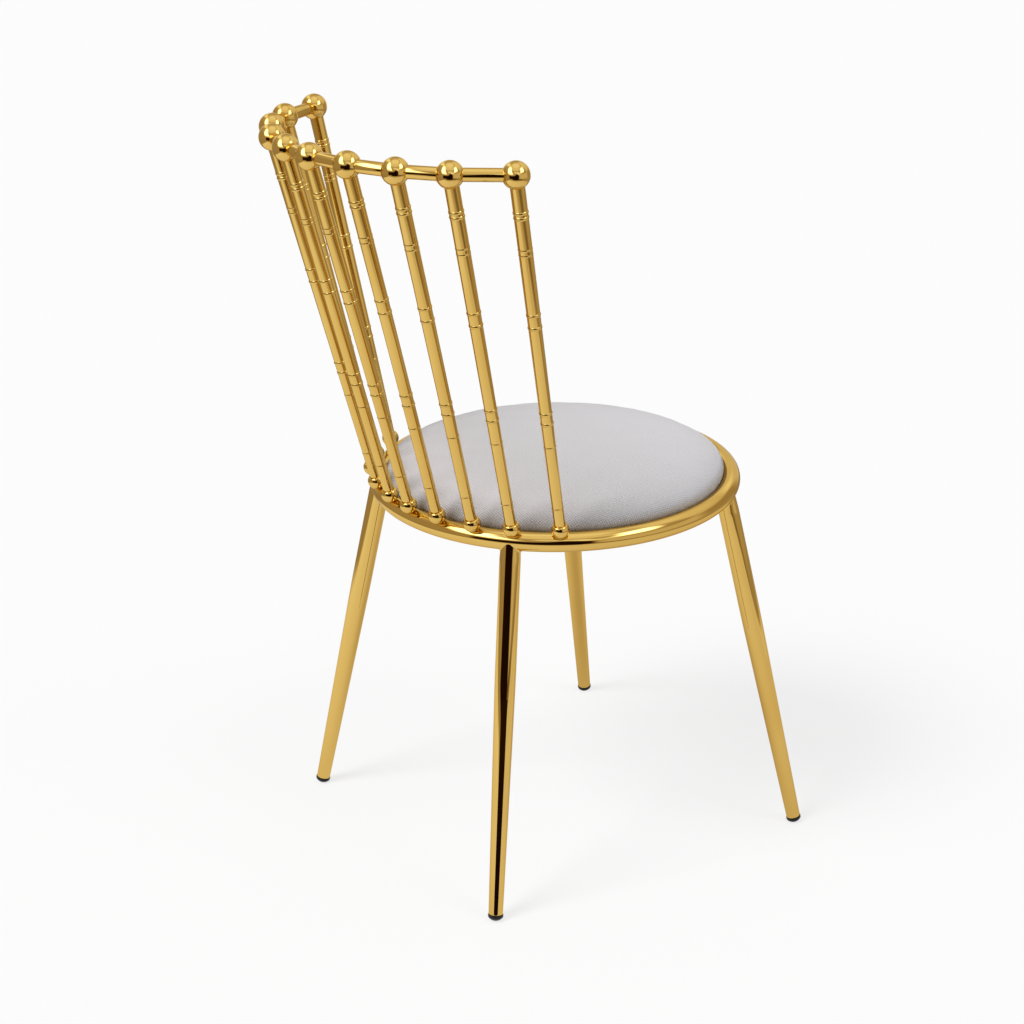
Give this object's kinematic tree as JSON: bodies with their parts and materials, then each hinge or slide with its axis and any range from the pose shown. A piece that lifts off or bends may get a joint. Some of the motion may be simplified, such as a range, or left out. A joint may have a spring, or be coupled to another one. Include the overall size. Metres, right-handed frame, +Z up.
{
  "type": "dining chair",
  "caption": "Gold-plated metal dining chair: round padded seat on a tube ring, splayed tapered legs with black feet, and a curved back of fanned spindles joined by balls and short rails.",
  "frame": {"origin": "on the floor below the middle of the chair's outline", "axes": "+Z up; -Y the way a sitter faces; +X to the sitter's left"},
  "size_m": [0.4438, 0.538, 0.8473],
  "materials": {
    "gold_plate": "mirror-polished gold-colour plating on steel",
    "foot_plastic": "glossy black moulded plastic",
    "seat_fabric": "pale warm-grey fine twill",
    "foam": "cut seat foam",
    "plywood": "sanded birch plywood",
    "dust_cloth": "black non-woven cloth",
    "zinc_steel": "bright zinc-plated steel"
  },
  "bodies": {
    "root": {"seat_ring": "gold_plate", "leg_back_left": "gold_plate", "foot_back_left": "foot_plastic", "leg_back_right": "gold_plate", "foot_back_right": "foot_plastic", "leg_front_left": "gold_plate", "foot_front_left": "foot_plastic", "leg_front_right": "gold_plate", "foot_front_right": "foot_plastic", "spindle_01": "gold_plate", "ball_01": "gold_plate", "collar_01": "gold_plate", "rail_01": "gold_plate", "spindle_02": "gold_plate", "ball_02": "gold_plate", "collar_02": "gold_plate", "rail_02": "gold_plate", "spindle_03": "gold_plate", "ball_03": "gold_plate", "collar_03": "gold_plate", "rail_03": "gold_plate", "spindle_04": "gold_plate", "ball_04": "gold_plate", "collar_04": "gold_plate", "rail_04": "gold_plate", "spindle_05": "gold_plate", "ball_05": "gold_plate", "collar_05": "gold_plate", "rail_05": "gold_plate", "spindle_06": "gold_plate", "ball_06": "gold_plate", "collar_06": "gold_plate", "rail_06": "gold_plate", "spindle_07": "gold_plate", "ball_07": "gold_plate", "collar_07": "gold_plate", "rail_07": "gold_plate", "spindle_08": "gold_plate", "ball_08": "gold_plate", "collar_08": "gold_plate", "rail_08": "gold_plate", "spindle_09": "gold_plate", "ball_09": "gold_plate", "collar_09": "gold_plate", "rail_09": "gold_plate", "spindle_10": "gold_plate", "ball_10": "gold_plate", "collar_10": "gold_plate", "seat_cover": "seat_fabric", "seat_foam": "foam", "seat_board": "plywood", "dust_cover": "dust_cloth", "seat_tab_back": "gold_plate", "seat_tab_left": "gold_plate", "seat_tab_front": "gold_plate", "seat_tab_right": "gold_plate", "seat_screws": "zinc_steel", "tee_nuts": "zinc_steel"}
  },
  "joints": []
}
